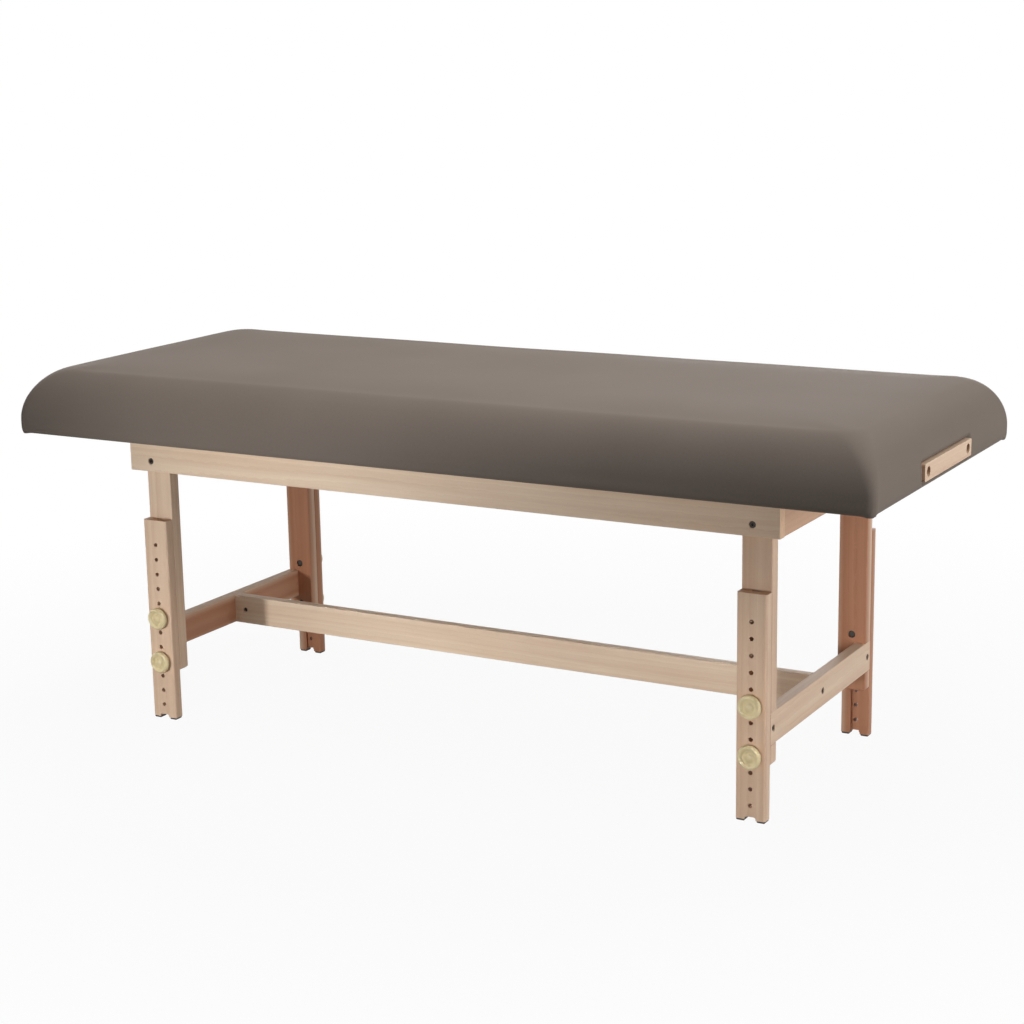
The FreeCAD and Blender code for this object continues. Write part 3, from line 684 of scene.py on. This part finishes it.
def make_staple_tree():
    """Geometry nodes that set bent wire staples along a line at a spacing, each a little askew."""
    tree = bpy.data.node_groups.new("staples along a line", "GeometryNodeTree")
    takes = {"Line": "Geometry", "Spacing": "Float", "Crown": "Float",
             "Wire Radius": "Float", "Askew": "Float", "Finish": "Material"}
    for label, kind in takes.items():
        tree.interface.new_socket(label, in_out="INPUT", socket_type="NodeSocket" + kind)
    tree.interface.new_socket("Staples", in_out="OUTPUT", socket_type="NodeSocketGeometry")
    given = add_node(tree, "NodeGroupInput").outputs
    result = add_node(tree, "NodeGroupOutput")
    path = add_node(tree, "GeometryNodeMeshToCurve", {"Mesh": given["Line"]}).outputs[0]
    places = add_node(tree, "GeometryNodeResampleCurve", {
        "Curve": path, "Length": given["Spacing"]}, mode="LENGTH")
    ends_sunk, crown_proud = 0.0006, (0.0, 0.0, -0.0002)
    half = reckon(tree, "MULTIPLY", given["Crown"], 0.5)
    other_half = reckon(tree, "MULTIPLY", half, -1.0)
    near_end = add_node(tree, "ShaderNodeCombineXYZ", {"X": other_half, "Z": ends_sunk}).outputs[0]
    far_end = add_node(tree, "ShaderNodeCombineXYZ", {"X": half, "Z": ends_sunk}).outputs[0]
    crown = add_node(tree, "GeometryNodeCurveArc", {
        "Resolution": 7, "Start": near_end, "Middle": crown_proud, "End": far_end}, mode="POINTS")
    section = add_node(tree, "GeometryNodeCurvePrimitiveCircle", {
        "Resolution": 6, "Radius": given["Wire Radius"]})
    wire = add_node(tree, "GeometryNodeCurveToMesh", {
        "Curve": crown.outputs["Curve"], "Profile Curve": section.outputs["Curve"], "Fill Caps": True})
    tangent = add_node(tree, "GeometryNodeInputTangent").outputs[0]
    along = add_node(tree, "FunctionNodeAlignRotationToVector", {"Vector": tangent}, axis="X")
    askew = reckon(tree, "MULTIPLY", given["Askew"], -1.0)
    chance = add_node(tree, "FunctionNodeRandomValue", {
        "Min": 0.0, "Max": 1.0, "Seed": 7}, data_type="FLOAT")
    swing = add_node(tree, "ShaderNodeMapRange", {
        "Value": chance.outputs[1], "To Min": askew, "To Max": given["Askew"]}).outputs[0]
    turn = add_node(tree, "FunctionNodeAxisAngleToRotation", {
        "Axis": (0.0, 0.0, 1.0), "Angle": swing}).outputs[0]
    facing = add_node(tree, "FunctionNodeRotateRotation", {
        "Rotation": along.outputs[0], "Rotate By": turn})
    copies = add_node(tree, "GeometryNodeInstanceOnPoints", {
        "Points": places.outputs[0], "Instance": wire.outputs[0], "Rotation": facing.outputs[0]})
    solid = add_node(tree, "GeometryNodeRealizeInstances", {"Geometry": copies.outputs[0]})
    finished = add_node(tree, "GeometryNodeSetMaterial", {
        "Geometry": solid.outputs[0], "Material": given["Finish"]})
    tree.links.new(finished.outputs[0], result.inputs["Staples"])
    return tree


vinyl_staples = staple_row()
stapler = vinyl_staples.modifiers.new("stapler", "NODES")
stapler.node_group = make_staple_tree()
staple_sizes = {"Spacing": 0.026, "Crown": 0.0115, "Wire Radius": 0.0005,
                "Askew": 0.22, "Finish": staple_wire}
for item in stapler.node_group.interface.items_tree:
    if item.name in staple_sizes:
        stapler[item.identifier] = staple_sizes[item.name]
shot_row = vinyl_staples.evaluated_get(bpy.context.evaluated_depsgraph_get())
stapled = bpy.data.meshes.new_from_object(shot_row)
vinyl_staples.modifiers.remove(stapler)
vinyl_staples.data = stapled
stapled.name = "vinyl_staples"
for face in stapled.polygons:
    face.use_smooth = True
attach(vinyl_staples, "frame")


# Floor, light and camera: a white studio floor that keeps a soft shadow, a long soft
# box overhead, wide ones at the back and both ends, small low ones in front, and the
# photo's view.
def seen(tree):
    """1 for what the camera, gloss or glass looks at, and 0 for light that falls on the object."""
    path = add_node(tree, "ShaderNodeLightPath").outputs
    direct = reckon(tree, "MAXIMUM", path["Is Camera Ray"], path["Is Glossy Ray"])
    return reckon(tree, "MAXIMUM", direct, path["Is Transmission Ray"])


def make_floor():
    """A wide floor, white where the camera looks at it, with the object's shadow near the middle."""
    ground = bmesh.new()
    bmesh.ops.create_grid(ground, x_segments=1, y_segments=1, size=30.0)
    sheet = bpy.data.meshes.new("studio_floor")
    ground.to_mesh(sheet)
    ground.free()
    floor = bpy.data.objects.new("studio_floor", sheet)
    bpy.context.scene.collection.objects.link(floor)
    finish = bpy.data.materials.new("studio floor")
    finish.use_nodes = True
    tree = finish.node_tree
    skin = tree.nodes["Principled BSDF"]
    skin.inputs["Base Color"].default_value = (0.3, 0.3, 0.3, 1)
    skin.inputs["Roughness"].default_value = 0.9
    skin.inputs["Specular IOR Level"].default_value = 0.0
    white = add_node(tree, "ShaderNodeEmission", {"Color": (1, 1, 1, 1), "Strength": 1.0})
    where = add_node(tree, "ShaderNodeTexCoord").outputs["Object"]
    away = add_node(tree, "ShaderNodeVectorMath", {0: where}, operation="LENGTH").outputs["Value"]
    shadow_reach, all_white, white_share = 0.9, 2.2, 0.945
    whiteness = spread(tree, away, shadow_reach, all_white, white_share, 1.0)
    share = reckon(tree, "MULTIPLY", seen(tree), whiteness)
    both = add_node(tree, "ShaderNodeMixShader", {0: share, 1: skin.outputs[0], 2: white.outputs[0]})
    tree.links.new(both.outputs[0], tree.nodes["Material Output"].inputs["Surface"])
    sheet.materials.append(finish)
    return floor


make_floor()


def light_world(ambient):
    """A white surround to the camera and in gloss, and a plain soft light from all sides."""
    world = bpy.data.worlds.new("studio")
    bpy.context.scene.world = world
    world.use_nodes = True
    tree = world.node_tree
    tree.nodes.clear()
    soft = add_node(tree, "ShaderNodeBackground", {"Color": (1, 1, 1, 1), "Strength": ambient})
    white = add_node(tree, "ShaderNodeBackground", {"Color": (1, 1, 1, 1), "Strength": 1.0})
    both = add_node(tree, "ShaderNodeMixShader", {0: seen(tree), 1: soft.outputs[0], 2: white.outputs[0]})
    surround = add_node(tree, "ShaderNodeOutputWorld")
    tree.links.new(both.outputs[0], surround.inputs["Surface"])


light_world(ambient=0.06)


def soft_light(name, place, aim, wide, high, power, spread_angle=180.0):
    """A soft box at a place, facing what it lights, with a grid on it where its light is kept narrow."""
    lamp = bpy.data.lights.new(name, "AREA")
    lamp.shape = "RECTANGLE"
    lamp.size, lamp.size_y = wide, high
    lamp.energy = power
    lamp.spread = math.radians(spread_angle)
    box = bpy.data.objects.new(name, lamp)
    box.location = place
    box.rotation_euler = (Vector(aim) - Vector(place)).to_track_quat("-Z", "Y").to_euler()
    bpy.context.scene.collection.objects.link(box)


soft_light("overhead", (-0.3, 0.0, 3.4), aim=(-0.2, 0.0, 0.7), wide=3.6, high=0.6, power=61.0)
soft_light("behind", (-0.2, 2.8, 2.6), aim=(-0.1, 0.0, 0.7), wide=3.6, high=2.0, power=9.0)
soft_light("head_front", (1.8, -0.9, 3.0), aim=(0.7, -0.1, 0.7), wide=1.2, high=1.2, power=23.0)
soft_light("head_end", (3.8, 0.2, 0.9), aim=(0.9, 0.0, 0.65), wide=1.6, high=1.2, power=56.0)
soft_light("back_wide", (-0.2, 3.8, 0.9), aim=(-0.1, 0.0, 0.4), wide=2.4, high=0.8, power=26.0)
soft_light("foot_end", (-3.8, 1.8, 1.0), aim=(-0.8, 0.0, 0.5), wide=1.5, high=1.2, power=26.0)
soft_light("front_wide", (0.0, -3.6, 0.9), aim=(0.0, 0.0, 0.4), wide=2.4, high=0.8, power=3.8)
soft_light("front_near", (-0.55, -0.95, 0.42), aim=(-0.55, 0.0, 0.5), wide=0.3, high=0.3, power=0.8)
soft_light("front_low", (-1.2, -3.4, 0.42), aim=(-0.15, 0.0, 0.08), wide=0.2, high=0.2, power=2.5,
           spread_angle=34.0)
soft_light("front_right", (1.0, -2.6, 0.25), aim=(0.68, -0.3, 0.2), wide=0.3, high=0.2, power=0.43,
           spread_angle=26.0)

camera = bpy.data.cameras.new("photo_view")
camera.lens, camera.sensor_width = 75.1726, 36.0
standpoint = Vector((2.130836, -3.738293, 1.452666))
yaw, pitch, roll = math.radians(29.3955), math.radians(12.9694), -0.0174458
ahead = Vector((-math.sin(yaw) * math.cos(pitch), math.cos(yaw) * math.cos(pitch), -math.sin(pitch)))
level_right = ahead.cross(Vector((0, 0, 1))).normalized()
level_up = level_right.cross(ahead)
right = level_right * math.cos(roll) + level_up * math.sin(roll)
up = level_up * math.cos(roll) - level_right * math.sin(roll)
view = bpy.data.objects.new("photo_view", camera)
turned = Matrix((right, up, -ahead)).transposed().to_4x4()
view.matrix_world = Matrix.Translation(standpoint) @ turned
bpy.context.scene.collection.objects.link(view)
bpy.context.scene.camera = view
bpy.context.scene.view_settings.view_transform = "Standard"
